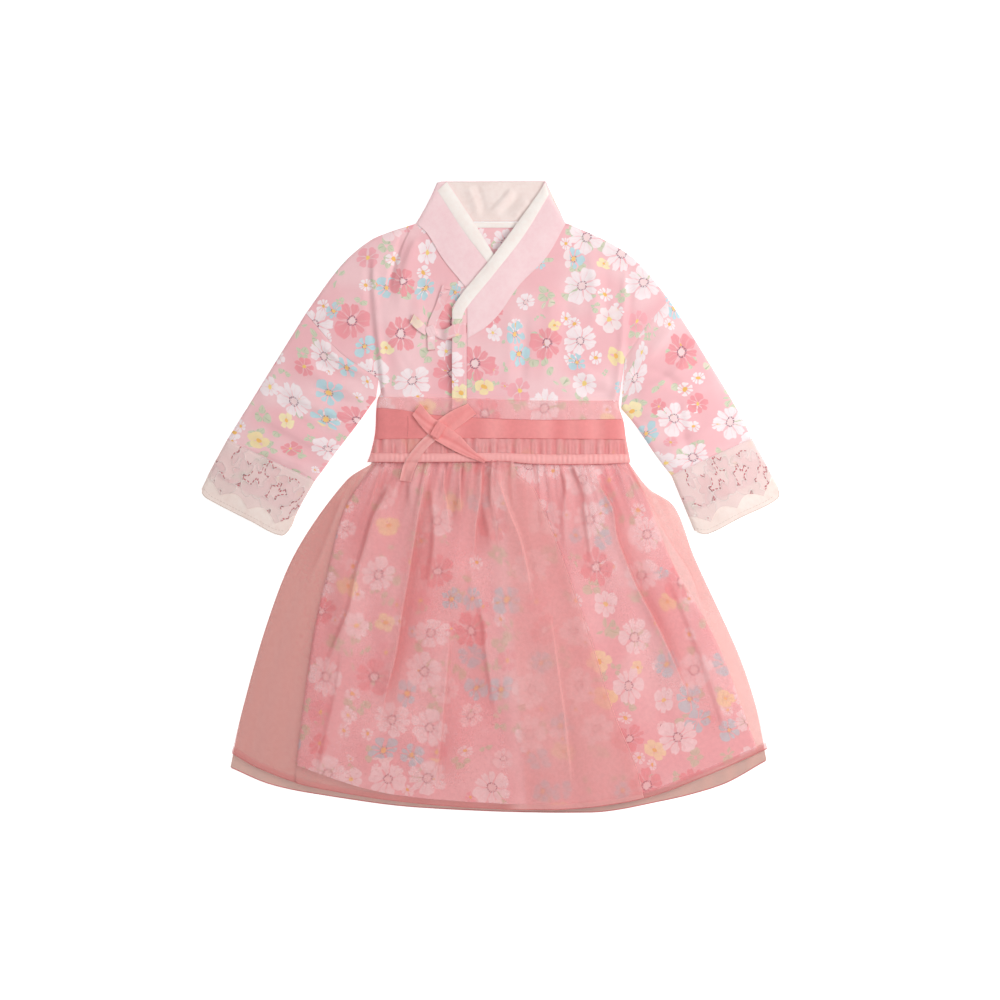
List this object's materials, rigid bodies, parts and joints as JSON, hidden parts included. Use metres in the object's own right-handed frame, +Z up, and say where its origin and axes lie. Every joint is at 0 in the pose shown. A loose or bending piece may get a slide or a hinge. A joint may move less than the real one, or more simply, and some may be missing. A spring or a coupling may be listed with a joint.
{
  "type": "child's hanbok dress laid flat",
  "caption": "Small child's hanbok dress laid flat on its back: crossed printed top with collar, ties and lace cuffs, tied sash, printed skirt and sheer overskirt.",
  "frame": {"origin": "middle of the laid dress, on the surface it lies on", "axes": "+Z up from the surface through the back to the front of the dress, +Y from the hem to the collar, +X to the wearer's left"},
  "size_m": [0.575, 0.6308, 0.0139],
  "materials": {
    "printed_cotton": "smooth satin cotton, pale coral pink with a scattered flower print",
    "pink_cotton": "smooth plain cotton, soft coral pink",
    "cream_cotton": "smooth plain cotton, warm cream",
    "cuff_lace": "corded flower lace over a fine net, off-white",
    "coral_organza": "sheer crisp organza, coral, slight sheen",
    "coral_sash": "doubled and gathered organza, deeper coral, slight sheen"
  },
  "bodies": {
    "root": {"bodice_back": "printed_cotton", "bodice_front_left": "printed_cotton", "bodice_front_right": "printed_cotton", "front_placket": "printed_cotton", "skirt_back": "printed_cotton", "skirt_front": "printed_cotton", "sleeve_left": "printed_cotton", "sleeve_right": "printed_cotton", "tie_knot": "printed_cotton", "tie_lower": "printed_cotton", "tie_tail_down": "printed_cotton", "tie_tail_side": "printed_cotton", "tie_upper": "printed_cotton", "collar_back": "pink_cotton", "collar_band_left": "pink_cotton", "collar_band_right": "pink_cotton", "collar_edging_left": "cream_cotton", "collar_edging_right": "cream_cotton", "collar_lining": "cream_cotton", "cuff_hem_left": "cream_cotton", "cuff_hem_right": "cream_cotton", "neck_tape": "cream_cotton", "lace_cuff_left": "cuff_lace", "lace_cuff_right": "cuff_lace", "overskirt_back": "coral_organza", "overskirt_front_over": "coral_organza", "overskirt_front_under": "coral_organza", "waistband_sheer": "coral_organza", "bow_end_left": "coral_sash", "bow_end_right": "coral_sash", "bow_knot": "coral_sash", "bow_tail_left": "coral_sash", "bow_tail_right": "coral_sash", "elastic_back": "coral_sash", "elastic_front": "coral_sash", "sash_front": "coral_sash", "waist_gather": "coral_sash", "waistband_back": "coral_sash"}
  },
  "joints": []
}
